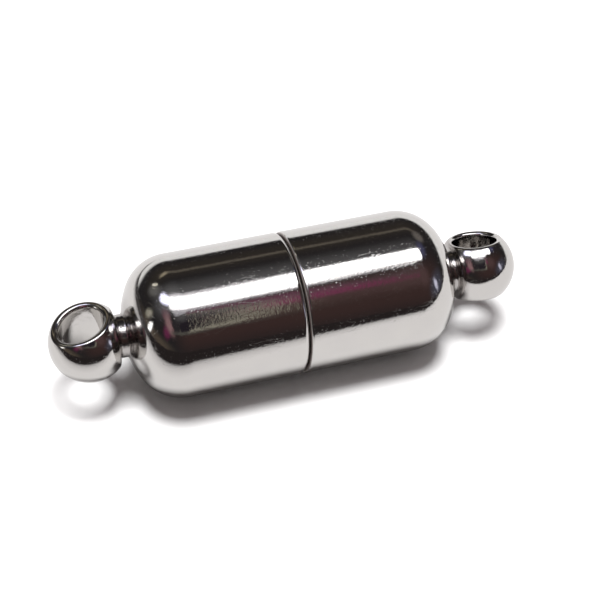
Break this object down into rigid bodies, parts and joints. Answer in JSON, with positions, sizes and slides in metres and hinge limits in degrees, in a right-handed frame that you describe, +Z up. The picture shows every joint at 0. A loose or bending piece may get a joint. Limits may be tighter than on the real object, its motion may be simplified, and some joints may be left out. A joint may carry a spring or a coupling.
{
  "type": "magnetic barrel clasp",
  "caption": "Magnetic barrel clasp lying closed: two metal cases with round shoulders and domed ends, each with a disc magnet inside and a drilled ball loop on a short neck at its end.",
  "frame": {"origin": "on the surface that the clasp lies on, under the seam between its two halves", "axes": "+X along the barrel from the left half to the right half, +Y away from the picture's viewer, +Z up"},
  "size_m": [0.0202, 0.006, 0.006],
  "materials": {
    "plated_case": "mirror-bright white metal plating over brass, with fine scratches and a slight orange peel on the necks",
    "magnet": "nickel-plated magnet, satin"
  },
  "bodies": {
    "left_half": {"left_case": "plated_case"},
    "turning_face": {"left_magnet": "magnet"},
    "right_half": {"right_case": "plated_case", "right_magnet": "magnet"}
  },
  "joints": [
    {"name": "swivel", "type": "hinge", "parent": "left_half", "child": "turning_face", "pos_m": [0, 0, 0.003], "axis": [1, 0, 0], "continuous": true},
    {"name": "pull_apart", "type": "slide", "parent": "turning_face", "child": "right_half", "axis": [1, 0, 0], "range_m": [0, 0.01]}
  ]
}
